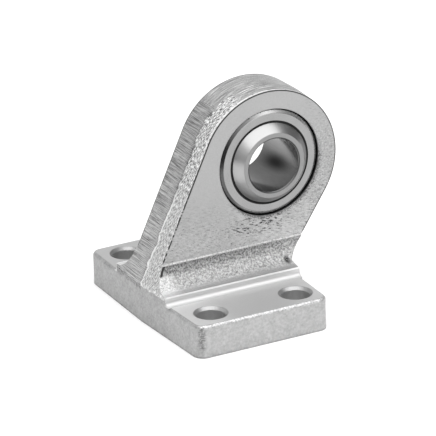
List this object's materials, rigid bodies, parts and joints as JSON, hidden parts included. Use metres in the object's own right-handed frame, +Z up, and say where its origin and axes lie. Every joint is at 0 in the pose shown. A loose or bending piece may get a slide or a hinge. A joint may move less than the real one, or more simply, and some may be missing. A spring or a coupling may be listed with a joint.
{
  "type": "cylinder bearing block",
  "caption": "Cast right-angle bearing block: a flat bolt-down foot and a slanting lug that carries a swivelling plain bearing beside the foot.",
  "frame": {"origin": "middle of the four bolt holes, on the underside of the foot", "axes": "+X across the foot towards the side that the eye overhangs, +Y along the bearing's axis and the foot's long side, +Z up from the mounting face"},
  "size_m": [0.0605, 0.0666, 0.0648],
  "materials": {
    "cast_bracket": "bright zinc plating over a rough cast skin, with the lug faces and bolt pads milled smooth",
    "outer_ring": "finely turned steel",
    "inner_ring": "ground and polished steel"
  },
  "bodies": {
    "block": {"bracket": "cast_bracket", "outer_ring": "outer_ring"},
    "ball": {"inner_ring": "inner_ring"}
  },
  "joints": [
    {"name": "inner_ring_tilt", "type": "hinge", "parent": "block", "child": "ball", "pos_m": [0.0159, 0, 0.043], "axis": [0, 0, 1], "range_deg": [-15, 15]}
  ]
}
